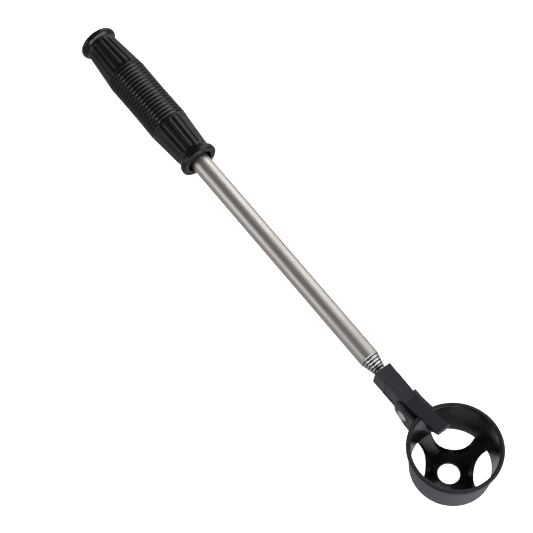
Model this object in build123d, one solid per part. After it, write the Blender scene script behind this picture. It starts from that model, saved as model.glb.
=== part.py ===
from build123d import *
import math
import os

# Golf ball retriever, collapsed: a rubber grip on the outermost of eight nested steel tubes,
# a moulded socket arm with a fixed tongue on the innermost tube, and a spring-closed cup.
# Millimetres. +X runs along the shaft from the butt of the grip to the cup, the shaft's axis is
# y = z = 0, and +Z is the side that the cup opens to. The origin is the middle of the butt face.

# ---- driving dimensions ----

# grip
GRIP_LENGTH = 111.6
GRIP_FLANGE_RADIUS = 12.5
GRIP_EDGE_ROUND = 2.0
GRIP_REAR_NECK_RADIUS = 10.35
GRIP_FRONT_NECK_RADIUS = 10.8
GRIP_SHOULDER_RADIUS = 12.85
GRIP_SWELL_RADIUS = 13.1
GRIP_WAIST_DIP = 0.25
GRIP_END_THICKNESS = 2.3
RIB_COUNT = 17
RIB_PITCH = 2.685
RIB_HEIGHT = 0.8
RIBS_START = 33.45
SHOULDER_GAP = 0.6
FLUTE_COUNT = 20
FLUTE_DEPTH = 0.55
FLUTE_RADIUS = 1.15
MOUTH_RECESS_RADIUS = 8.4
MOUTH_RECESS_DEPTH = 5.5

# telescopic tubes, tube 1 outermost
TUBE_COUNT = 8
TUBE_1_RADIUS = 6.25
TUBE_STEP = 0.51
TUBE_WALL = 0.32
TUBE_1_TAIL_X = 2.8
TUBE_1_TIP_X = 277.0
TIP_STEP = 1.95
INNER_TAIL_X = 16.0
RUNNING_GAP = 0.05
CRIMP_LENGTH = 1.7
LIP_LENGTH = 0.6
LIP_EDGE = 0.1
COLLAR_LENGTH = 3.0
NECK_LENGTH = 14.0
SHIM_GAP = 0.03
SHIM_LENGTH = 13.4
SHIM_SLOT = 1.4

# rear plug
PLUG_FRONT_X = 15.5
PLUG_HEAD_LENGTH = 0.5

# socket arm, measured from the pivot where a value is called REL
PIVOT_X = 314.6
ARM_HALF_WIDTH = 5.05
ARM_REAR_HALF_WIDTH = 5.5
ARM_SHOULDER_REL = -7.4
ARM_TOP = 6.82
ARM_BOTTOM = -6.4
ARM_REAR_REL = -27.7
ARM_STEP_REL = -19.5
ARM_STEP = 0.4
ARM_NOSE_REL = 6.5
COUNTERBORE_RADIUS = 4.0
COUNTERBORE_DEPTH = 2.1
SOCKET_DEPTH = 13.5
PANEL_LENGTH = 9.0
PANEL_HEIGHT = 9.4
PANEL_FLOOR_HALF_WIDTH = 5.08
TONGUE_BEND_REL = -3.0
TONGUE_SLOPE = 0.40
TONGUE_THICKNESS = 2.15
TONGUE_HALF_WIDTH = 4.1
TONGUE_ROOT_REL = -5.4
BOSS_TOP = 4.6
TONGUE_END_REL = 22.6
TONGUE_NOSE = 2.2
TONGUE_NOSE_DROP = 0.95
WEDGE_REAR_REL = 14.3
WEDGE_TIP = (15.4, 8.1)
WEDGE_FRONT = (17.3, 8.1)
WEB_RECESS = 1.2

# torsion spring and the slot it sits in
SPRING_WIRE = 0.8
SPRING_TURNS = 4.25
SPRING_PITCH = 0.9
SPRING_RADIUS = 2.75
SPRING_SLOT_HALF_WIDTH = 2.4
SPRING_SLOT_REAR_REL = -6.0
SPRING_SLOT_TOP = 3.2
SPRING_FLOOR_LEG_END = (2.15, -8.3)
SPRING_ROOF_LEG_END = -5.4

# rivets
PIVOT_SHANK_RADIUS = 1.8
PIVOT_BORE_RADIUS = 1.85
PIVOT_HEAD_RADIUS = 3.47
PIVOT_HEAD_HEIGHT = 1.45
PIVOT_HEAD_CROWN = 1.05
TUBE_RIVET_REL = -22.7
TUBE_RIVET_SHANK_RADIUS = 1.6
TUBE_RIVET_HEAD_RADIUS = 3.05
TUBE_RIVET_HEAD_HEIGHT = 0.9
TUBE_RIVET_SEAT = 5.6
TUBE_RIVET_BLIND_END = -4.4

# cup, in its own frame: pivot at the origin, rim plane level, then turned up by CUP_LIFT
CUP_LIFT = 4.1
CUP_CENTRE_REL = 35.8
RIM_HEIGHT = 9.83
FLANGE_RADIUS = 27.5
FLANGE_EDGE = 2.0
WALL_TOP_RADIUS = 26.3
WALL_BOTTOM_RADIUS = 24.0
WALL_DEPTH = 27.5
WALL_STEP = 0.3
CUP_DEPTH = 39.0
CUP_BASE_RADIUS = 8.1
CUP_THICKNESS = 1.55
BALL_MOUTH_RADIUS = 24.9
RIM_OUTER_ROUND = 0.5
RIM_INNER_ROUND = 0.95
BALL_SEAT_RADIUS = 22.8
BALL_SEAT_DEPTH = 27.2
BALL_BASE_RADIUS = 6.9
DOME_FULLNESS = 0.15
DRAIN_RADIUS = 6.45
WINDOW_TOP_DEPTH = 25.5
WINDOW_HALF_WIDTH = 13.4
WINDOW_DEPTH = 9.4
WINDOW_SKIN_RADIUS = 23.4

# clevis of the cup, in the arm's frame
EAR_INNER = 5.3
EAR_OUTER = 7.5
EAR_REAR_REL = -6.9
EAR_TOP = 4.9
EAR_BOTTOM = -8.7
WEB_FACE_REL = 8.3
WEB_BOTTOM = -17.2
FLOOR_THICKNESS = 1.4
FLOOR_EDGE_REL = 2.7
NOTCH_GAP = 0.12

# ---- worked out from the above ----

RIBS_END = RIBS_START + RIB_COUNT * RIB_PITCH
COLLAR_GROWTH = TUBE_STEP - TUBE_WALL - RUNNING_GAP
TAIL_LENGTH = 2 * COLLAR_LENGTH + NECK_LENGTH
ARM_REAR_X = PIVOT_X + ARM_REAR_REL
TUBE_RIVET_X = PIVOT_X + TUBE_RIVET_REL


def tube_radius(number):
    """Outer radius of a tube, 1 to 8."""
    return TUBE_1_RADIUS - TUBE_STEP * (number - 1)


def tube_tip_x(number):
    """Where a tube's mouth stands when the shaft is collapsed."""
    if number == TUBE_COUNT:
        return ARM_REAR_X + SOCKET_DEPTH
    return TUBE_1_TIP_X + TIP_STEP * (number - 1)


def turned(edges):
    """Solid of revolution about the shaft's axis from a closed outline in x and radius."""
    return revolve(make_face(edges), Axis.X, 360)


def cylinder_along_y(x, z, radius, y_from, y_to):
    """Cylinder across the shaft between two values of y."""
    rod = Cylinder(radius, y_to - y_from, rotation=(90, 0, 0))
    return Pos(x, (y_from + y_to) / 2, z) * rod


def side_plate(edges, half_width):
    """Plate with a side outline in x and z, measured from the pivot, centred on y = 0."""
    face = Plane.XZ * make_face(edges)
    return Pos(PIVOT_X, 0, 0) * extrude(face, half_width, both=True)


def block(x_from, x_to, y_from, y_to, z_from, z_to):
    """Rectangular block between limits, x measured from the pivot."""
    box = Box(x_to - x_from, y_to - y_from, z_to - z_from)
    centre = Pos(PIVOT_X + (x_from + x_to) / 2, (y_from + y_to) / 2, (z_from + z_to) / 2)
    return centre * box


# ---- grip ----

def rib_base(x):
    """Radius at the foot of the ribs, a little less in the middle of the grip."""
    along = (x - RIBS_START) / (RIBS_END - RIBS_START)
    return GRIP_SWELL_RADIUS - RIB_HEIGHT - GRIP_WAIST_DIP * math.sin(math.pi * along)


def grip_outline():
    """Outline of the grip: a flanged butt, two tapers and a ribbed middle."""
    front = GRIP_LENGTH
    round_off = GRIP_EDGE_ROUND
    flat = GRIP_FLANGE_RADIUS - round_off
    cut = round_off * (1 - math.sqrt(0.5))
    edges = Curve()
    edges += Line((GRIP_END_THICKNESS, 0), (0, 0))
    edges += Line((0, 0), (0, flat))
    butt_top = (round_off, GRIP_FLANGE_RADIUS)
    edges += ThreePointArc((0, flat), (cut, GRIP_FLANGE_RADIUS - cut), butt_top)
    rear_neck = (5.4, GRIP_REAR_NECK_RADIUS)
    rear_shoulder = (RIBS_START - SHOULDER_GAP, GRIP_SHOULDER_RADIUS)
    edges += ThreePointArc(butt_top, (4.2, 11.9), rear_neck)
    edges += Line(rear_neck, rear_shoulder)
    edges += Line(rear_shoulder, (RIBS_START, rib_base(RIBS_START)))
    for rib in range(RIB_COUNT):
        start = RIBS_START + rib * RIB_PITCH
        foot = 0.28 * RIB_PITCH
        low = (start, rib_base(start))
        rise = (start + foot, rib_base(start + foot))
        crown = (start + (foot + RIB_PITCH) / 2, rib_base(start) + RIB_HEIGHT)
        end = (start + RIB_PITCH, rib_base(start + RIB_PITCH))
        edges += Line(low, rise)
        edges += ThreePointArc(rise, crown, end)
    front_shoulder = (RIBS_END + SHOULDER_GAP, GRIP_SHOULDER_RADIUS)
    front_neck = (front - 6.4, GRIP_FRONT_NECK_RADIUS)
    neck_end = (front - 4.6, GRIP_FRONT_NECK_RADIUS + 0.3)
    edges += Line((RIBS_END, rib_base(RIBS_END)), front_shoulder)
    edges += Line(front_shoulder, front_neck)
    edges += Line(front_neck, neck_end)
    front_top = (front - round_off, GRIP_FLANGE_RADIUS)
    edges += ThreePointArc(neck_end, (front - 3.8, 12.1), front_top)
    edges += ThreePointArc(front_top, (front - cut, GRIP_FLANGE_RADIUS - cut), (front, flat))
    edges += Line((front, flat), (front, MOUTH_RECESS_RADIUS))
    recess_x = front - MOUTH_RECESS_DEPTH
    edges += Line((front, MOUTH_RECESS_RADIUS), (recess_x, MOUTH_RECESS_RADIUS))
    edges += Line((recess_x, MOUTH_RECESS_RADIUS), (recess_x, TUBE_1_RADIUS))
    edges += Line((recess_x, TUBE_1_RADIUS), (GRIP_END_THICKNESS, TUBE_1_RADIUS))
    edges += Line((GRIP_END_THICKNESS, TUBE_1_RADIUS), (GRIP_END_THICKNESS, 0))
    return edges


def flute(x_narrow, x_wide, neck):
    """Cutter for one flute, along a taper from its neck to its shoulder."""
    centre_lift = FLUTE_RADIUS - FLUTE_DEPTH
    start = Vector(x_narrow, 0, neck + centre_lift)
    end = Vector(x_wide, 0, GRIP_SHOULDER_RADIUS + centre_lift)
    path = end - start
    plane = Plane(origin=start, z_dir=path)
    return extrude(plane * Circle(FLUTE_RADIUS), path.length)


def grip_sleeve():
    """Rubber sleeve with a closed butt, ribs round the middle and flutes on both tapers."""
    sleeve = turned(grip_outline())
    rear = flute(6.6, RIBS_START - 1.8, GRIP_REAR_NECK_RADIUS)
    front = flute(GRIP_LENGTH - 7.6, RIBS_END + 1.8, GRIP_FRONT_NECK_RADIUS)
    cutters = []
    for number in range(FLUTE_COUNT):
        turn = Rot(360 / FLUTE_COUNT * number, 0, 0)
        cutters.append(turn * rear)
        cutters.append(turn * front)
    return sleeve - cutters


def rear_plug():
    """Plastic plug in the tail of tube 1, which the inner tubes stop against."""
    bore = tube_radius(1) - TUBE_WALL
    head_x = TUBE_1_TAIL_X - PLUG_HEAD_LENGTH
    edges = Polyline(
        (head_x, 0), (head_x, TUBE_1_RADIUS), (TUBE_1_TAIL_X, TUBE_1_RADIUS),
        (TUBE_1_TAIL_X, bore), (PLUG_FRONT_X - 0.8, bore), (PLUG_FRONT_X, bore - 0.8),
        (PLUG_FRONT_X, 2.2), (PLUG_FRONT_X - 7.0, 2.2), (PLUG_FRONT_X - 7.0, 0),
        close=True,
    )
    return turned(edges)


# ---- shaft ----

def tube(number):
    """One steel tube: a tail swaged into two collars and a mouth crimped on the next tube."""
    radius = tube_radius(number)
    bore = radius - TUBE_WALL
    collar = radius + COLLAR_GROWTH
    tip = tube_tip_x(number)
    if number == 1:
        outer = [(TUBE_1_TAIL_X, radius)]
        tail = TUBE_1_TAIL_X
    else:
        tail = INNER_TAIL_X
        neck = tail + COLLAR_LENGTH
        second = neck + NECK_LENGTH
        outer = [
            (tail, collar), (neck, collar), (neck, radius),
            (second, radius), (second, collar), (tail + TAIL_LENGTH, collar),
            (tail + TAIL_LENGTH, radius),
        ]
    if number == TUBE_COUNT:
        mouth = [(tip, radius), (tip, bore)]
    else:
        crimped_bore = tube_radius(number + 1) + RUNNING_GAP
        lip = LIP_LENGTH
        mouth = [
            (tip - lip, radius), (tip - 0.5 * lip, radius - 0.06),
            (tip - 0.18 * lip, radius - 0.19), (tip, crimped_bore + LIP_EDGE),
            (tip, crimped_bore), (tip - lip, crimped_bore), (tip - CRIMP_LENGTH, bore),
        ]
    solid = turned(Polyline(*outer, *mouth, (tail, bore), close=True))
    if number == TUBE_COUNT:
        hole = cylinder_along_y(TUBE_RIVET_X, 0, TUBE_RIVET_SHANK_RADIUS, -8, 8)
        solid = solid - hole
    return solid


def friction_spring(number):
    """Bronze shim, open like a C, between the two collars of a tube's tail."""
    inner = tube_radius(number) + (SHIM_GAP if number == TUBE_COUNT else 0)
    outer = tube_radius(number - 1) - TUBE_WALL - SHIM_GAP
    start = INNER_TAIL_X + COLLAR_LENGTH + (NECK_LENGTH - SHIM_LENGTH) / 2
    end = start + SHIM_LENGTH
    edges = Polyline((start, inner), (end, inner), (end, outer), (start, outer), close=True)
    slot = Pos((start + end) / 2, 0, outer) * Box(SHIM_LENGTH + 2, SHIM_SLOT, 2 * outer)
    return turned(edges) - Rot(45 * number, 0, 0) * slot


# ---- socket arm ----

def tongue_top(x):
    """Height of the tongue's outer face."""
    return ARM_TOP + TONGUE_SLOPE * (x - TONGUE_BEND_REL)


def tongue_underside(x):
    """Height of the tongue's inner face."""
    return tongue_top(x) - TONGUE_THICKNESS


def block_outline():
    """Side outline of the arm's block: a stepped socket, then a lower boss round the pivot."""
    stepped_top = ARM_TOP - ARM_STEP
    stepped_bottom = ARM_BOTTOM + ARM_STEP
    return Polyline(
        (ARM_REAR_REL, stepped_bottom), (ARM_REAR_REL, stepped_top),
        (ARM_STEP_REL, stepped_top), (ARM_STEP_REL, ARM_TOP),
        (TONGUE_ROOT_REL, ARM_TOP), (TONGUE_ROOT_REL, BOSS_TOP), (ARM_NOSE_REL, BOSS_TOP),
        (ARM_NOSE_REL, -3.0), (3.5, ARM_BOTTOM), (ARM_STEP_REL, ARM_BOTTOM),
        (ARM_STEP_REL, stepped_bottom),
        close=True,
    )


def tongue_outline():
    """Side outline of the tongue: a sloping bar with a round nose and a wedge under it."""
    end = TONGUE_END_REL
    root = TONGUE_ROOT_REL - 2
    tip_top = (end, tongue_top(end))
    tip_front = (end + TONGUE_NOSE, tongue_top(end) - TONGUE_NOSE_DROP)
    nose = (end + 0.75 * TONGUE_NOSE, tongue_top(end) + 0.2)
    edges = Curve()
    edges += Polyline((root, 0), (root, ARM_TOP), (TONGUE_BEND_REL, ARM_TOP), tip_top)
    edges += ThreePointArc(tip_top, nose, tip_front)
    edges += Polyline(
        tip_front, (end + 1.9, tongue_top(end) - 1.85), WEDGE_FRONT, WEDGE_TIP,
        (WEDGE_REAR_REL, tongue_underside(WEDGE_REAR_REL)),
        (ARM_NOSE_REL, tongue_underside(ARM_NOSE_REL)), (ARM_NOSE_REL, 0), (root, 0),
    )
    return edges


def arm_plan():
    """Cutter that keeps the arm's block between its tapering sides."""
    rear = ARM_REAR_HALF_WIDTH
    half = ARM_HALF_WIDTH
    right = [(ARM_REAR_REL, rear), (ARM_SHOULDER_REL, half + 0.15), (ARM_SHOULDER_REL + 0.4, half)]
    left = [(x, -y) for x, y in reversed(right)]
    outline = Polyline(*right, (ARM_NOSE_REL, half), (ARM_NOSE_REL, -half), *left, close=True)
    plan = extrude(make_face(outline), 2 * ARM_TOP, both=True)
    return Pos(PIVOT_X, 0, 0) * plan


def arm_side_recesses():
    """Cutters for the square panels and the triangular webs on both sides of the arm."""
    panel_x = ARM_STEP_REL + 1.5
    middle = (ARM_TOP + ARM_BOTTOM) / 2
    web = Polyline((15.7, 11.3), (16.6, 9.5), (21.3, 13.9), close=True)
    cutters = []
    for side in (-1, 1):
        face = side * ARM_REAR_HALF_WIDTH
        inside = side * PANEL_FLOOR_HALF_WIDTH
        cutters.append(block(
            panel_x, panel_x + PANEL_LENGTH, min(face, inside), max(face, inside),
            middle - PANEL_HEIGHT / 2, middle + PANEL_HEIGHT / 2,
        ))
        shift = side * (2 * TONGUE_HALF_WIDTH - WEB_RECESS)
        cutters.append(Pos(0, shift, 0) * side_plate(web, TONGUE_HALF_WIDTH))
    return cutters


def socket_arm():
    """Moulded arm: socket for the last tube, spring slot, pivot boss and fixed tongue."""
    arm = side_plate(block_outline(), ARM_REAR_HALF_WIDTH) & arm_plan()
    arm = arm + side_plate(tongue_outline(), TONGUE_HALF_WIDTH)
    socket = Pos(ARM_REAR_X + SOCKET_DEPTH / 2, 0, 0) * Cylinder(
        tube_radius(TUBE_COUNT), SOCKET_DEPTH, rotation=(0, 90, 0)
    )
    mouth = Pos(ARM_REAR_X + COUNTERBORE_DEPTH / 2, 0, 0) * Cylinder(
        COUNTERBORE_RADIUS, COUNTERBORE_DEPTH, rotation=(0, 90, 0)
    )
    slot = block(
        SPRING_SLOT_REAR_REL, ARM_NOSE_REL + 1, -SPRING_SLOT_HALF_WIDTH, SPRING_SLOT_HALF_WIDTH,
        ARM_BOTTOM - 1, SPRING_SLOT_TOP,
    )
    pivot = cylinder_along_y(PIVOT_X, 0, PIVOT_SHANK_RADIUS, -9, 9)
    rivet = cylinder_along_y(TUBE_RIVET_X, 0, TUBE_RIVET_SHANK_RADIUS, TUBE_RIVET_BLIND_END, 9)
    return arm - socket - mouth - slot - pivot - rivet - arm_side_recesses()


def tube_rivet():
    """Rivet through the last tube, with its head on one side of the arm and a blind end."""
    seat = TUBE_RIVET_SEAT
    shank = cylinder_along_y(
        TUBE_RIVET_X, 0, TUBE_RIVET_SHANK_RADIUS, TUBE_RIVET_BLIND_END, seat
    )
    head_top = seat + TUBE_RIVET_HEAD_HEIGHT
    head = cylinder_along_y(TUBE_RIVET_X, 0, TUBE_RIVET_HEAD_RADIUS, seat, head_top)
    rim = head.edges().filter_by(GeomType.CIRCLE).sort_by(Axis.Y)[-1]
    head = fillet(rim, 0.5)
    ring = cylinder_along_y(TUBE_RIVET_X, 0, 1.5, head_top - 0.2, head_top + 1)
    ring = ring - cylinder_along_y(TUBE_RIVET_X, 0, 1.1, head_top - 1, head_top + 2)
    return shank + head - ring


def domed_head(side):
    """Domed head of the pivot rivet, outside one ear."""
    base = EAR_OUTER + RUNNING_GAP
    top = base + PIVOT_HEAD_HEIGHT
    head = cylinder_along_y(PIVOT_X, 0, PIVOT_HEAD_RADIUS, base, top)
    dome_radius = (PIVOT_HEAD_RADIUS ** 2 + PIVOT_HEAD_CROWN ** 2) / (2 * PIVOT_HEAD_CROWN)
    dome = Pos(PIVOT_X, top - dome_radius, 0) * Sphere(dome_radius)
    if side > 0:
        return head & dome
    return mirror(head & dome, Plane.XZ)


def pivot_rivet():
    """Rivet that the cup turns on, with a domed head outside each ear."""
    reach = EAR_OUTER + RUNNING_GAP
    shank = cylinder_along_y(PIVOT_X, 0, PIVOT_SHANK_RADIUS, -reach, reach)
    return shank + domed_head(1) + domed_head(-1)


def wire(start, end):
    """Straight length of spring wire between two points measured from the pivot."""
    origin = Vector(PIVOT_X + start[0], start[1], start[2])
    path = Vector(end[0] - start[0], end[1] - start[1], end[2] - start[2])
    plane = Plane(origin=origin, z_dir=path)
    return extrude(plane * Circle(SPRING_WIRE / 2), path.length)


def torsion_spring():
    """Spring round the pivot: one leg under the arm's slot roof, one against the cup's floor."""
    width = SPRING_TURNS * SPRING_PITCH
    coil = Helix(SPRING_PITCH, width, SPRING_RADIUS)
    section = Plane(origin=coil @ 0, z_dir=coil % 0) * Circle(SPRING_WIRE / 2)
    turns = sweep(section, path=coil, is_frenet=True)
    turns = Pos(PIVOT_X, width / 2, 0) * (Rot(90, 0, 0) * turns)
    floor_x, floor_z = SPRING_FLOOR_LEG_END
    floor_start = (SPRING_RADIUS - 0.04, width / 2 - 0.02, 0.5)
    floor_leg = wire(floor_start, (floor_x, width / 2, floor_z))
    roof_start = (0.5, -width / 2 + 0.02, SPRING_RADIUS - 0.04)
    roof_leg = wire(roof_start, (SPRING_ROOF_LEG_END, -width / 2, SPRING_RADIUS))
    return turns + floor_leg + roof_leg


# ---- cup ----

def half_section(mouth, seat, dome_start, dome_end):
    """Bowl about z from its half section: the given mouth, then a tapered wall and a base."""
    middle_r = (dome_start[0] + dome_end[0]) / 2 + DOME_FULLNESS
    middle_z = (dome_start[1] + dome_end[1]) / 2 - DOME_FULLNESS * 0.55
    edges = Curve()
    edges += mouth
    edges += Line(mouth @ 1, seat)
    if seat != dome_start:
        edges += Line(seat, dome_start)
    edges += ThreePointArc(dome_start, (middle_r, middle_z), dome_end)
    edges += Polyline(dome_end, (0, dome_end[1]), mouth @ 0)
    return revolve(Plane.XZ * make_face(edges), Axis.Z, 360)


def corner_middle(centre, radius, side):
    """Point halfway round a quarter-circle corner, on its inner (-1) or outer (1) side."""
    reach = radius * math.sqrt(0.5)
    return (centre[0] + side * reach, centre[1] + reach)


def bowl():
    """Outside of the cup as a filled bowl, with the flange round its mouth."""
    rim = RIM_HEIGHT
    corner = RIM_OUTER_ROUND
    middle = corner_middle((FLANGE_RADIUS - corner, rim - corner), corner, 1)
    flange_top = (FLANGE_RADIUS - corner, rim)
    flange_side = (FLANGE_RADIUS, rim - corner)
    under_flange = (FLANGE_RADIUS, rim - FLANGE_EDGE)
    mouth = Curve()
    mouth += Line((0, rim), flange_top)
    mouth += ThreePointArc(flange_top, middle, flange_side)
    mouth += Polyline(flange_side, under_flange, (WALL_TOP_RADIUS, rim - FLANGE_EDGE - 0.6))
    wall_end = rim - WALL_DEPTH
    return half_section(
        mouth, (WALL_BOTTOM_RADIUS, wall_end), (WALL_BOTTOM_RADIUS - WALL_STEP, wall_end),
        (CUP_BASE_RADIUS, rim - CUP_DEPTH),
    )


def ball_room():
    """Space inside the cup, open upward, that leaves the rim's inner edge round."""
    rim = RIM_HEIGHT
    corner = RIM_INNER_ROUND
    middle = corner_middle((BALL_MOUTH_RADIUS + corner, rim - corner), corner, -1)
    lip_top = (BALL_MOUTH_RADIUS + corner, rim)
    lip_side = (BALL_MOUTH_RADIUS, rim - corner)
    above = rim + 8
    mouth = Curve()
    mouth += Polyline((0, above), (BALL_MOUTH_RADIUS + corner, above), lip_top)
    mouth += ThreePointArc(lip_top, middle, lip_side)
    seat = (BALL_SEAT_RADIUS, rim - BALL_SEAT_DEPTH)
    return half_section(mouth, seat, seat, (BALL_BASE_RADIUS, rim - CUP_DEPTH + CUP_THICKNESS))


def window(angle):
    """Cutter for one half-round window, which leaves the outer skin of the wall whole."""
    top = RIM_HEIGHT - WINDOW_TOP_DEPTH
    left = (-WINDOW_HALF_WIDTH, top)
    right = (WINDOW_HALF_WIDTH, top)
    edges = Curve()
    edges += Line(left, right)
    edges += ThreePointArc(left, (0, top - WINDOW_DEPTH), right)
    cutter = extrude(Plane.XZ * make_face(edges), FLANGE_RADIUS + 5)
    wall_end = RIM_HEIGHT - WALL_DEPTH
    height = 2 * (top - wall_end)
    outside = Cylinder(FLANGE_RADIUS + 8, height) - Cylinder(WINDOW_SKIN_RADIUS, height)
    cutter = cutter - Pos(0, 0, wall_end + height / 2) * outside
    return Rot(0, 0, angle) * cutter


def placed_cup(shape):
    """Moves a piece of the cup from its own frame to its closed place on the arm."""
    return Pos(PIVOT_X, 0, 0) * (Rot(0, -CUP_LIFT, 0) * (Pos(CUP_CENTRE_REL, 0, 0) * shape))


def clevis():
    """Two ears, the web between them and the floor that stops the cup when it is open."""
    reach = WEB_FACE_REL + 9
    boss_start = (EAR_REAR_REL, 0.3)
    boss_end = (-1.4, -6.3)
    edges = Curve()
    edges += Polyline(
        boss_end, (3.5, EAR_BOTTOM), (reach, EAR_BOTTOM), (reach, EAR_TOP + 2.4),
        (WEB_FACE_REL, EAR_TOP + 2.4), (EAR_REAR_REL + 6.0, EAR_TOP), (EAR_REAR_REL, EAR_TOP),
        boss_start,
    )
    edges += ThreePointArc(boss_start, (-5.3, -4.2), boss_end)
    ears = side_plate(edges, EAR_OUTER)
    ears = ears - block(EAR_REAR_REL - 1, reach + 1, -EAR_INNER, EAR_INNER, EAR_BOTTOM - 1, 20)
    web = block(WEB_FACE_REL, reach, -EAR_INNER, EAR_INNER, WEB_BOTTOM, EAR_TOP + 2.4)
    floor_top = EAR_BOTTOM + FLOOR_THICKNESS
    floor = block(FLOOR_EDGE_REL, reach, -EAR_INNER, EAR_INNER, EAR_BOTTOM, floor_top)
    return ears + web + floor


def tongue_notch():
    """Room for the tongue where it crosses the flange."""
    gap = NOTCH_GAP
    left = WEB_FACE_REL - 2
    right = WEDGE_REAR_REL
    edges = Polyline(
        (left, tongue_underside(left) - gap), (right, tongue_underside(right) - gap),
        (right, 25), (left, 25), close=True,
    )
    return side_plate(edges, TONGUE_HALF_WIDTH + 0.3)


def cup():
    """Ball cup with its flange, windows, drain hole and the clevis that hangs on the pivot."""
    windows = [window(angle) for angle in (45, 135, 225, 315)]
    drain = Pos(0, 0, RIM_HEIGHT - CUP_DEPTH) * Cylinder(DRAIN_RADIUS, 8 * CUP_THICKNESS)
    outside = placed_cup(bowl()) + clevis()
    inside = placed_cup(ball_room())
    openings = [placed_cup(cutter) for cutter in windows + [drain]]
    bore = cylinder_along_y(PIVOT_X, 0, PIVOT_BORE_RADIUS, -9, 9)
    return outside - inside - openings - bore - tongue_notch()


# ---- write every node ----

def main():
    """Builds each node and writes it to its own file."""
    nodes = {
        "grip_sleeve": grip_sleeve(),
        "rear_plug": rear_plug(),
        "socket_arm": socket_arm(),
        "tube_rivet": tube_rivet(),
        "pivot_rivet": pivot_rivet(),
        "torsion_spring": torsion_spring(),
        "cup": cup(),
    }
    for number in range(1, TUBE_COUNT + 1):
        nodes[f"tube_{number}"] = tube(number)
    for number in range(2, TUBE_COUNT + 1):
        nodes[f"friction_spring_{number}"] = friction_spring(number)
    os.makedirs("parts", exist_ok=True)
    for name, shape in nodes.items():
        export_step(shape, f"parts/{name}.step")


main()
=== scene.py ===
import math
import bmesh
import bpy
from mathutils import Matrix, Vector


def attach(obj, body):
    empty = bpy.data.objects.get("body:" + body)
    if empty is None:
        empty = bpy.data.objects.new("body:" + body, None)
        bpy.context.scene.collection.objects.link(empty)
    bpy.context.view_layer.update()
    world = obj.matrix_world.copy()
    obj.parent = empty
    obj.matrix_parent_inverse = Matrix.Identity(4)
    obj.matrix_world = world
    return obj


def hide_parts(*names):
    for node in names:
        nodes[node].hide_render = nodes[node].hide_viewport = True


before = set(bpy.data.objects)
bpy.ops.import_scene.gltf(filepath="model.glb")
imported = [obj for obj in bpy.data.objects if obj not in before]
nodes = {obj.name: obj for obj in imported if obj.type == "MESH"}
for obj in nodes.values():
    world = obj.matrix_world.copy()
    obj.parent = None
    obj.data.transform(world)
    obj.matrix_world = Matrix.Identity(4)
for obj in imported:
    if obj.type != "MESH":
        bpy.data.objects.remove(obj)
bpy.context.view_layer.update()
scene = bpy.context.scene

MM = 0.001

# grip, in millimetres: as the CAD part, apart from grooves 0.02 deeper, a bore radius 0.01 larger,
# narrower rib crests, scalloped flutes, a smaller round on the front edge and a dish in the butt
GRIP_LENGTH = 111.6
FLANGE_RADIUS = 12.5
EDGE_ROUND = 2.0
FRONT_EDGE_ROUND = 1.1
REAR_NECK_RADIUS = 10.35
FRONT_NECK_RADIUS = 10.8
SHOULDER_RADIUS = 12.85
SHOULDER_GAP = 0.6
SWELL_RADIUS = 13.1
RIB_COUNT = 17
RIB_PITCH = 2.685
RIB_HEIGHT = 0.82
CREST_WIDTH = 0.30
RIBS_START = 33.45
RIBS_END = RIBS_START + RIB_COUNT * RIB_PITCH
WAIST_DIP = 0.25
FLUTES = 20
FLUTE_DEPTH = 0.55
BORE_RADIUS = 6.26
RECESS_RADIUS = 8.4
RECESS_DEPTH = 5.5
END_THICKNESS = 2.3
GRIP_SEGMENTS = 320
TAPER_STEP = 0.9
RIB_STEPS = 18

# grip outline: shallow dish in the butt, as places along the shaft and radii
BUTT_DISH = [(0.55, 0.0), (0.55, 2.0), (0.55, 5.0), (0.5, 7.2), (0.2, 7.9), (0.0, 8.3)]

# grip outline: sweep from each flange to its neck, as distances from that end and radii
REAR_NECK_START = 6.2
REAR_SWEEP = [
    (2.8, 12.46), (3.4, 12.26), (3.9, 11.86), (4.3, 11.4), (4.7, 10.95), (5.1, 10.58), (5.6, 10.38),
]
FRONT_NECK_START = 6.4
FRONT_SWEEP = [
    (5.6, 10.88), (5.0, 11.12), (4.5, 11.5), (4.0, 11.95), (3.5, 12.26), (2.8, 12.44), (2.2, 12.5),
]
FRONT_SWEEP_END = 1.6

# grip outline: flat land and rounded step between each taper and the ribs
SHOULDER_LAND = 0.4
SHOULDER_ROUND = 0.06
STEP_INSET = 0.25
STEP_DROP = 0.35
GROOVE_INSET = 0.05

# grip outline: rounded lip of the mouth, and rings along the bore
RECESS_LIP = 0.5
BORE_RINGS = (GRIP_LENGTH - 30, 60, 30)

# flutes fade over these distances from the butt, from the ribs and from the front
FADE_FROM_BUTT = (5.6, 8.0)
FADE_FROM_RIBS = (1.3, 3.0)
FADE_FROM_FRONT = (6.2, 8.4)

# outline points inside this radius are bore or end face, and carry no flutes
FLUTED_RADIUS = 10.0
RIDGE_SHARPNESS = 1.6

# tips of the inner tubes, in millimetres, where the painted shade bands sit
TIP_X = 277.0
TIP_STEP = 1.95

# cup, in millimetres
PIVOT_X = 314.6
CUP_CENTRE_REL = 35.8
CUP_LIFT = math.radians(4.1)
RIM_HEIGHT = 9.83
WALL_DEPTH = 27.5
WALL_MIDDLE_TOP = 25.7
WALL_MIDDLE_BOTTOM = 23.4
RIM_SKIRT = (2.2, 3.0)
MASK_BLEND = 0.3

# photograph's viewpoint
CAMERA_PLACE = (0.5002, -0.2880, 0.8065)
CAMERA_RIGHT = Vector((0.60608, 0.79488, 0.02889))
CAMERA_UP = Vector((-0.71448, 0.52810, 0.45895))
CAMERA_LENS = 102.8
CAMERA_SHIFT = (0.0335, -0.0155)
CAMERA_REACH = 50

FLOOR_Z = -0.095
FLOOR_GLOW = 1.4
FLOOR_SIZE = 14
FLOOR_CENTRE_X = 0.19

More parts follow.
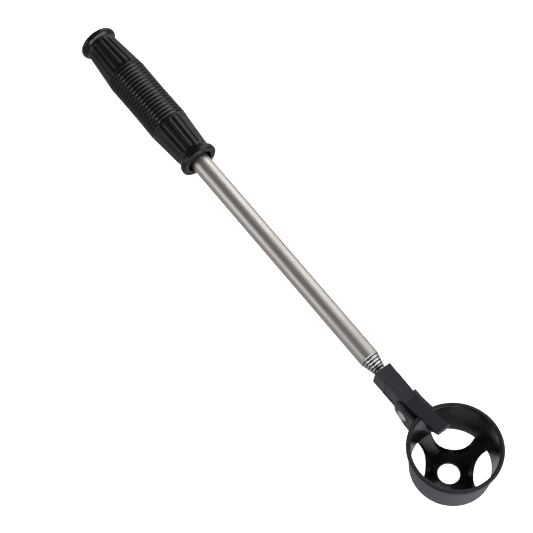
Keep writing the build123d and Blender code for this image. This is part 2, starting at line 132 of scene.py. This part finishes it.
# soft lights: name, place, point faced, width and height, power
LIGHTS = [
    ("side_box", (-0.40, 0.97, 0.52), (-0.30, 0, 0), (0.85, 1.20), 4.6),
    ("side_edge", (-0.40, 0.70, 0.835), (-0.30, 0, 0), (0.85, 0.10), 0.35),
    ("end_box", (1.30, 0.50, 0.60), (0.15, 0, 0), (1.9, 0.85), 21),
    ("fill", (-0.40, -1.07, 0.28), (-0.30, 0, 0), (0.85, 0.75), 2.4),
    ("front", (1.2, -0.6, 0.35), (0.35, 0, 0), (0.5, 0.5), 4.0),
    ("top_card", (0.05, 0.34, 1.03), (0.30, 0, 0), (0.35, 0.40), 0.45),
]


# ---- shader helpers ----

class Shader:
    """A material's node tree, with its Principled shader and short ways to add nodes."""

    def __init__(self, name, roughness, metallic=0.0, specular=0.5):
        self.material = bpy.data.materials.new(name)
        self.material.use_nodes = True
        self.tree = self.material.node_tree
        self.bsdf = self.tree.nodes["Principled BSDF"]
        self.bsdf.inputs["Roughness"].default_value = roughness
        self.bsdf.inputs["Metallic"].default_value = metallic
        self.bsdf.inputs["Specular IOR Level"].default_value = specular
        self.place = self.add("ShaderNodeTexCoord").outputs["Object"]

    def add(self, kind, **values):
        node = self.tree.nodes.new(kind)
        for key, value in values.items():
            setattr(node, key, value)
        return node

    def link(self, source, socket):
        self.tree.links.new(source, socket)

    def stretched(self, stretch):
        """Object coordinates scaled by a factor along each axis."""
        mapping = self.add("ShaderNodeMapping")
        mapping.inputs["Scale"].default_value = stretch
        self.link(self.place, mapping.inputs["Vector"])
        return mapping.outputs["Vector"]

    def noise(self, scale, detail, stretch=(1, 1, 1)):
        """Noise from 0 to 1, with its scale in features per metre."""
        node = self.add("ShaderNodeTexNoise")
        node.inputs["Scale"].default_value = scale
        node.inputs["Detail"].default_value = detail
        self.link(self.stretched(stretch), node.inputs["Vector"])
        return node.outputs["Fac"]

    def spread(self, value, low, high, to_low=0.0, to_high=1.0):
        """Maps a stretch of values on to another."""
        node = self.add("ShaderNodeMapRange")
        node.inputs["From Min"].default_value = low
        node.inputs["From Max"].default_value = high
        node.inputs["To Min"].default_value = to_low
        node.inputs["To Max"].default_value = to_high
        self.link(value, node.inputs["Value"])
        return node.outputs["Result"]

    def math(self, operation, a, b):
        node = self.add("ShaderNodeMath", operation=operation)
        for socket, value in zip(node.inputs, (a, b)):
            if isinstance(value, (int, float)):
                socket.default_value = value
            else:
                self.link(value, socket)
        return node.outputs["Value"]

    def mix(self, factor, first, second):
        """Colour between two colours, each a tuple or a socket."""
        node = self.add("ShaderNodeMix", data_type="RGBA")
        self.link(factor, node.inputs["Factor"])
        for key, colour in (("A", first), ("B", second)):
            socket = [s for s in node.inputs if s.name == key and s.type == "RGBA"][0]
            if isinstance(colour, tuple):
                socket.default_value = (*colour, 1.0)
            else:
                self.link(colour, socket)
        return [s for s in node.outputs if s.type == "RGBA"][0]

    def colour(self, value):
        self.link(value, self.bsdf.inputs["Base Color"])

    def rough(self, value):
        self.link(value, self.bsdf.inputs["Roughness"])

    def bump(self, height, depth, strength):
        """Surface relief of that depth in metres, added to what is there."""
        node = self.add("ShaderNodeBump")
        node.inputs["Strength"].default_value = strength
        node.inputs["Distance"].default_value = depth
        self.link(height, node.inputs["Height"])
        normal = self.bsdf.inputs["Normal"]
        if normal.links:
            self.link(normal.links[0].from_socket, node.inputs["Normal"])
        self.link(node.outputs["Normal"], normal)


def rubber():
    """Moulded black rubber: fine grain, with a duller bloom in patches."""
    s = Shader("moulded_rubber", 0.21, specular=0.36)
    patch = s.noise(70, 4)
    grain = s.noise(2600, 2)
    dust = s.spread(s.noise(900, 5), 0.58, 0.75)
    base = s.mix(patch, (0.0016, 0.0019, 0.0030), (0.0034, 0.0039, 0.0056))
    s.colour(s.mix(dust, base, (0.016, 0.0165, 0.018)))
    gloss = s.spread(patch, 0.3, 0.7, 0.17, 0.25)
    s.rough(s.math("ADD", gloss, s.spread(grain, 0.3, 0.7, -0.03, 0.03)))
    s.bump(grain, 0.00002, 0.4)
    s.bump(s.noise(300, 3), 0.00005, 0.08)
    return s.material


def steel(name, low, high, rough_low, rough_high, painted_shade_at=None):
    """Drawn steel with fine lengthwise lines, faint stains, and painted shade in the groove where the
    next mouth parks.
    """
    s = Shader(name, 0.25, metallic=1.0)
    lines = s.noise(2200, 3, (0.012, 1, 1))
    fine = s.noise(6500, 2, (0.006, 1, 1))
    stain = s.noise(45, 4)
    base = s.mix(s.spread(lines, 0.3, 0.7), low, high)
    stain_colour = (low[0] * 0.8, low[1] * 0.76, low[2] * 0.7)
    stained = s.mix(s.spread(stain, 0.55, 0.8, 0.0, 0.35), base, stain_colour)
    if painted_shade_at is None:
        s.colour(stained)
    else:
        parts = s.add("ShaderNodeSeparateXYZ")
        s.link(s.place, parts.inputs["Vector"])
        after = s.spread(parts.outputs["X"], (painted_shade_at - 0.5) * MM, (painted_shade_at - 0.2) * MM)
        before = s.spread(parts.outputs["X"], (painted_shade_at + 0.65) * MM, (painted_shade_at + 1.0) * MM, 1.0, 0.0)
        # painted shade: the steel goes near black in a band from just before to just past where the next
        # mouth parks, in place of the shade in the groove
        s.colour(s.mix(s.math("MULTIPLY", after, before), stained, (0.025, 0.020, 0.018)))
    gloss = s.spread(lines, 0.3, 0.7, rough_low, rough_high)
    s.rough(s.math("ADD", gloss, s.spread(stain, 0.4, 0.8, 0.0, 0.06)))
    s.bump(fine, 0.000006, 0.5)
    return s.material


def arm_plastic():
    """Satin moulded plastic with a fine spark-eroded grain and rubbed patches."""
    s = Shader("arm_plastic", 0.42, specular=0.42)
    grain = s.noise(4200, 2)
    patch = s.noise(110, 4)
    rub = s.noise(500, 3, (0.08, 1, 1))
    base = s.mix(patch, (0.0125, 0.0148, 0.0200), (0.0185, 0.0215, 0.0280))
    s.colour(s.mix(s.spread(rub, 0.6, 0.8, 0.0, 0.6), base, (0.028, 0.030, 0.035)))
    gloss = s.spread(patch, 0.3, 0.7, 0.34, 0.46)
    s.rough(s.math("ADD", gloss, s.spread(grain, 0.3, 0.7, -0.03, 0.03)))
    s.bump(grain, 0.00003, 0.6)
    s.bump(s.noise(240, 2), 0.0001, 0.2)
    return s.material


def cup_plastic():
    """Moulded plastic, glossy on the rim and inside, with a satin outer wall."""
    s = Shader("cup_plastic", 0.25, specular=0.32)
    turn = s.add("ShaderNodeMapping", vector_type="TEXTURE")
    turn.inputs["Location"].default_value = (PIVOT_X * MM, 0, 0)
    turn.inputs["Rotation"].default_value = (0, -CUP_LIFT, 0)
    s.link(s.place, turn.inputs["Vector"])
    parts = s.add("ShaderNodeSeparateXYZ")
    s.link(turn.outputs["Vector"], parts.inputs["Vector"])
    across = s.math("SUBTRACT", parts.outputs["X"], CUP_CENTRE_REL * MM)
    square = s.math("MULTIPLY", across, across)
    side = s.math("MULTIPLY", parts.outputs["Y"], parts.outputs["Y"])
    radius = s.math("SQRT", s.math("ADD", square, side), 0.0)
    depth = s.math("SUBTRACT", RIM_HEIGHT * MM, parts.outputs["Z"])
    wall = s.spread(depth, 0.0, WALL_DEPTH * MM, WALL_MIDDLE_TOP * MM, WALL_MIDDLE_BOTTOM * MM)
    beyond = s.spread(s.math("SUBTRACT", radius, wall), 0.0, MASK_BLEND * MM)
    below_rim = s.spread(depth, RIM_SKIRT[0] * MM, RIM_SKIRT[1] * MM)
    outside = s.math("MULTIPLY", beyond, below_rim)
    patch = s.noise(90, 4)
    grain = s.noise(3800, 2)
    band = s.add("ShaderNodeTexNoise", noise_dimensions="1D")
    band.inputs["Scale"].default_value = 1500
    s.link(parts.outputs["Z"], band.inputs["W"])
    inner = s.mix(patch, (0.0040, 0.0046, 0.0064), (0.0078, 0.0088, 0.0115))
    mottle = s.spread(s.noise(650, 5), 0.35, 0.65)
    outer = s.mix(mottle, (0.039, 0.041, 0.051), (0.060, 0.062, 0.075))
    s.colour(s.mix(outside, inner, outer))
    inner_rough = s.spread(patch, 0.3, 0.7, 0.17, 0.28)
    outer_rough = s.spread(band.outputs["Fac"], 0.3, 0.7, 0.38, 0.50)
    blend = s.add("ShaderNodeMix", data_type="FLOAT")
    s.link(outside, blend.inputs["Factor"])
    s.link(inner_rough, blend.inputs["A"])
    s.link(outer_rough, blend.inputs["B"])
    s.rough(blend.outputs["Result"])
    s.bump(grain, 0.00002, 0.4)
    s.bump(s.noise(130, 2), 0.00025, 0.25)
    return s.material


def rivet_metal():
    """Polished rivet with small dents and a dull smear."""
    s = Shader("rivet_metal", 0.18, metallic=1.0)
    smear = s.noise(420, 4)
    s.colour(s.mix(s.spread(smear, 0.45, 0.7), (0.74, 0.74, 0.74), (0.46, 0.46, 0.47)))
    s.rough(s.spread(smear, 0.3, 0.7, 0.12, 0.34))
    s.bump(s.noise(900, 2), 0.00005, 0.4)
    return s.material


def shim_bronze():
    """Rolled bronze sheet with lengthwise lines and darker tarnish."""
    s = Shader("shim_bronze", 0.35, metallic=1.0)
    lines = s.noise(3000, 2, (0.05, 1, 1))
    tarnish = s.noise(260, 4)
    base = s.mix(lines, (0.55, 0.36, 0.17), (0.70, 0.48, 0.24))
    s.colour(s.mix(s.spread(tarnish, 0.5, 0.8), base, (0.30, 0.19, 0.10)))
    s.rough(s.spread(tarnish, 0.3, 0.7, 0.25, 0.45))
    s.bump(lines, 0.00001, 0.5)
    return s.material


def plug_plastic():
    """Plain grey moulding with a fine grain."""
    s = Shader("plug_plastic", 0.55)
    patch = s.noise(200, 3)
    grain = s.noise(4000, 2)
    s.colour(s.mix(patch, (0.055, 0.055, 0.06), (0.085, 0.085, 0.09)))
    s.rough(s.spread(patch, 0.3, 0.7, 0.5, 0.62))
    s.bump(grain, 0.00003, 0.5)
    return s.material


def dress(obj, material):
    obj.data.materials.clear()
    obj.data.materials.append(material)


# ---- grip ----

def smooth(value, start, end):
    """0 before start, 1 after end, and smooth between."""
    t = min(max((value - start) / (end - start), 0.0), 1.0)
    return t * t * (3 - 2 * t)


def arc_points(centre, radius, from_deg, to_deg, steps):
    """Points on an arc in x and radius."""
    points = []
    for i in range(steps + 1):
        angle = math.radians(from_deg + (to_deg - from_deg) * i / steps)
        points.append((centre[0] + radius * math.cos(angle), centre[1] + radius * math.sin(angle)))
    return points


def rib_base(x):
    along = (x - RIBS_START) / (RIBS_END - RIBS_START)
    return SWELL_RADIUS - RIB_HEIGHT - WAIST_DIP * math.sin(math.pi * min(max(along, 0), 1))


def rib_surface(x):
    """Radius over the ribs: narrow rounded crests with straight flanks down to sharp grooves."""
    phase = ((x - RIBS_START) / RIB_PITCH) % 1.0
    off_crest = abs(2 * phase - 1)
    drop = (off_crest ** 4 + CREST_WIDTH ** 4) ** 0.25 - CREST_WIDTH
    full_drop = (1 + CREST_WIDTH ** 4) ** 0.25 - CREST_WIDTH
    return rib_base(x) + RIB_HEIGHT * (1 - drop / full_drop)


def taper(start, start_radius, end, end_radius):
    """Points along a straight taper, without its two ends."""
    count = int(abs(end - start) / TAPER_STEP)
    points = []
    for i in range(1, count):
        share = i / count
        points.append((start + (end - start) * share, start_radius + (end_radius - start_radius) * share))
    return points


def grip_points():
    """Outline from the middle of the butt, over the outside, and back along the bore."""
    flat = FLANGE_RADIUS - EDGE_ROUND
    front = GRIP_LENGTH
    points = [*BUTT_DISH, (0.0, flat)]
    points += arc_points((EDGE_ROUND, flat), EDGE_ROUND, 180, 90, 10)[1:]
    points += [*REAR_SWEEP, (REAR_NECK_START, REAR_NECK_RADIUS)]
    shoulder = RIBS_START - SHOULDER_GAP
    land = shoulder - SHOULDER_LAND
    points += taper(REAR_NECK_START, REAR_NECK_RADIUS, land, SHOULDER_RADIUS)
    points += [(land, SHOULDER_RADIUS), (shoulder, SHOULDER_RADIUS - SHOULDER_ROUND)]
    points += [(shoulder + STEP_INSET, SHOULDER_RADIUS - STEP_DROP)]
    points += [(RIBS_START - GROOVE_INSET, rib_base(RIBS_START))]
    steps = RIB_COUNT * RIB_STEPS
    for i in range(steps + 1):
        x = RIBS_START + (RIBS_END - RIBS_START) * i / steps
        points.append((x, rib_surface(min(x, RIBS_END - 0.001))))
    shoulder = RIBS_END + SHOULDER_GAP
    neck = front - FRONT_NECK_START
    land = shoulder + SHOULDER_LAND
    points += [(RIBS_END + GROOVE_INSET, rib_base(RIBS_END))]
    points += [(shoulder - STEP_INSET, SHOULDER_RADIUS - STEP_DROP)]
    points += [(shoulder, SHOULDER_RADIUS - SHOULDER_ROUND), (land, SHOULDER_RADIUS)]
    points += taper(land, SHOULDER_RADIUS, neck, FRONT_NECK_RADIUS)
    points += [(neck, FRONT_NECK_RADIUS)]
    points += [(front - back, radius) for back, radius in FRONT_SWEEP]
    points += [(front - FRONT_SWEEP_END, FLANGE_RADIUS)]
    face = FLANGE_RADIUS - FRONT_EDGE_ROUND
    points += arc_points((front - FRONT_EDGE_ROUND, face), FRONT_EDGE_ROUND, 90, 0, 10)
    points += arc_points((front - RECESS_LIP, RECESS_RADIUS + RECESS_LIP), RECESS_LIP, 0, -90, 4)
    points += [(front - 2.5, RECESS_RADIUS - 0.05), (front - RECESS_DEPTH + 0.3, RECESS_RADIUS - 0.1)]
    points += [(front - RECESS_DEPTH, RECESS_RADIUS - 0.4), (front - RECESS_DEPTH, BORE_RADIUS)]
    points += [(x, BORE_RADIUS) for x in BORE_RINGS]
    points += [(END_THICKNESS, BORE_RADIUS), (END_THICKNESS, 3.0), (END_THICKNESS, 0.0)]
    return points


def flute_strength(x, radius):
    """How deep the flutes are at a point of the outline, from 0 to 1."""
    if radius < FLUTED_RADIUS:
        return 0.0
    rib_near, rib_far = FADE_FROM_RIBS
    front_near, front_far = FADE_FROM_FRONT
    rear = smooth(x, *FADE_FROM_BUTT) * (1 - smooth(x, RIBS_START - rib_far, RIBS_START - rib_near))
    front = smooth(x, RIBS_END + rib_near, RIBS_END + rib_far)
    front *= 1 - smooth(x, GRIP_LENGTH - front_far, GRIP_LENGTH - front_near)
    return max(rear, front)


def build_grip():
    """Rubber grip as one closed turned mesh, with scalloped flutes between soft ridges."""
    mesh = bmesh.new()
    rings = []
    for x, radius in grip_points():
        if radius == 0.0:
            rings.append([mesh.verts.new((x * MM, 0, 0))])
            continue
        strength = flute_strength(x, radius)
        ring = []
        for i in range(GRIP_SEGMENTS):
            angle = 2 * math.pi * i / GRIP_SEGMENTS
            ridge = (0.5 - 0.5 * math.cos(FLUTES * angle)) ** RIDGE_SHARPNESS
            r = (radius - FLUTE_DEPTH * strength * (1 - ridge)) * MM
            ring.append(mesh.verts.new((x * MM, r * math.sin(angle), r * math.cos(angle))))
        rings.append(ring)
    for first, second in zip(rings, rings[1:]):
        for i in range(GRIP_SEGMENTS):
            j = (i + 1) % GRIP_SEGMENTS
            if len(first) == 1:
                mesh.faces.new((first[0], second[j], second[i]))
            elif len(second) == 1:
                mesh.faces.new((first[i], first[j], second[0]))
            else:
                mesh.faces.new((first[i], first[j], second[j], second[i]))
    bmesh.ops.recalc_face_normals(mesh, faces=mesh.faces)
    data = bpy.data.meshes.new("grip_moulding")
    mesh.to_mesh(data)
    mesh.free()
    for face in data.polygons:
        face.use_smooth = True
    grip = bpy.data.objects.new("grip_moulding", data)
    scene.collection.objects.link(grip)
    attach(grip, "grip")
    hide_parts("grip_sleeve")
    return grip


# ---- finishes on every piece ----

tube_steel = steel("tube_steel", (0.545, 0.515, 0.48), (0.645, 0.61, 0.57), 0.32, 0.41)
wire_steel = steel("wire_steel", (0.40, 0.40, 0.41), (0.52, 0.52, 0.53), 0.24, 0.34)
arm_finish = arm_plastic()
bronze = shim_bronze()
rivets = rivet_metal()

grip = build_grip()
grip_finish = rubber()
dress(grip, grip_finish)
dress(nodes["grip_sleeve"], grip_finish)
dress(nodes["rear_plug"], plug_plastic())
dress(nodes["tube_1"], tube_steel)
# each inner tube's steel carries a band of painted shade where the next tube's mouth parks
for number in range(2, 9):
    painted_shade_at = TIP_X + TIP_STEP * (number - 2)
    finish = steel(f"tip_steel_{number}", (0.53, 0.515, 0.49), (0.64, 0.625, 0.60), 0.13, 0.21, painted_shade_at)
    dress(nodes[f"tube_{number}"], finish)
    dress(nodes[f"friction_spring_{number}"], bronze)
dress(nodes["socket_arm"], arm_finish)
dress(nodes["cup"], cup_plastic())
dress(nodes["tube_rivet"], rivets)
dress(nodes["pivot_rivet"], rivets)
dress(nodes["torsion_spring"], wire_steel)


# ---- floor, light and camera ----

def floor():
    """Plain pale floor, well below the part so that the open cup is clear of it."""
    bpy.ops.mesh.primitive_plane_add(size=FLOOR_SIZE, location=(FLOOR_CENTRE_X, 0, FLOOR_Z))
    plane = bpy.context.object
    plane.name = "floor"
    s = Shader("pale_floor", 0.9, specular=0.1)
    s.colour(s.mix(s.noise(3, 3), (0.50, 0.50, 0.50), (0.53, 0.53, 0.53)))
    s.bsdf.inputs["Emission Color"].default_value = (1, 1, 1, 1)
    seen = s.add("ShaderNodeLightPath").outputs["Is Camera Ray"]
    s.link(s.math("MULTIPLY", seen, FLOOR_GLOW), s.bsdf.inputs["Emission Strength"])
    dress(plane, s.material)


def area_light(name, place, target, size, power):
    """Soft rectangular light that faces a point."""
    data = bpy.data.lights.new(name, "AREA")
    data.shape = "RECTANGLE"
    data.size, data.size_y = size
    data.energy = power
    light = bpy.data.objects.new(name, data)
    light.location = place
    light.rotation_euler = (Vector(target) - Vector(place)).to_track_quat("-Z", "Y").to_euler()
    scene.collection.objects.link(light)


def sky():
    """Even grey surround for light and reflections, and a pale one for the camera."""
    world = bpy.data.worlds.new("studio")
    scene.world = world
    world.use_nodes = True
    tree = world.node_tree
    tree.nodes.clear()
    out = tree.nodes.new("ShaderNodeOutputWorld")
    mix = tree.nodes.new("ShaderNodeMixShader")
    path = tree.nodes.new("ShaderNodeLightPath")
    grey = tree.nodes.new("ShaderNodeBackground")
    grey.inputs["Color"].default_value = (0.165, 0.167, 0.185, 1)
    pale = tree.nodes.new("ShaderNodeBackground")
    pale.inputs["Color"].default_value = (0.95, 0.95, 0.95, 1)
    tree.links.new(path.outputs["Is Camera Ray"], mix.inputs[0])
    tree.links.new(grey.outputs[0], mix.inputs[1])
    tree.links.new(pale.outputs[0], mix.inputs[2])
    tree.links.new(mix.outputs[0], out.inputs["Surface"])


def camera():
    """Camera at the photograph's viewpoint, as one placement in the part's frame."""
    data = bpy.data.cameras.new("camera")
    data.lens = CAMERA_LENS
    data.sensor_width = 36
    data.shift_x, data.shift_y = CAMERA_SHIFT
    data.clip_end = CAMERA_REACH
    view = bpy.data.objects.new("camera", data)
    right = CAMERA_RIGHT.normalized()
    back = right.cross(CAMERA_UP).normalized()
    up = back.cross(right)
    turn = Matrix((right, up, back)).transposed().to_4x4()
    view.matrix_world = Matrix.Translation(CAMERA_PLACE) @ turn
    scene.collection.objects.link(view)
    scene.camera = view


floor()
sky()
camera()
for light in LIGHTS:
    area_light(*light)
scene.view_settings.view_transform = "Standard"
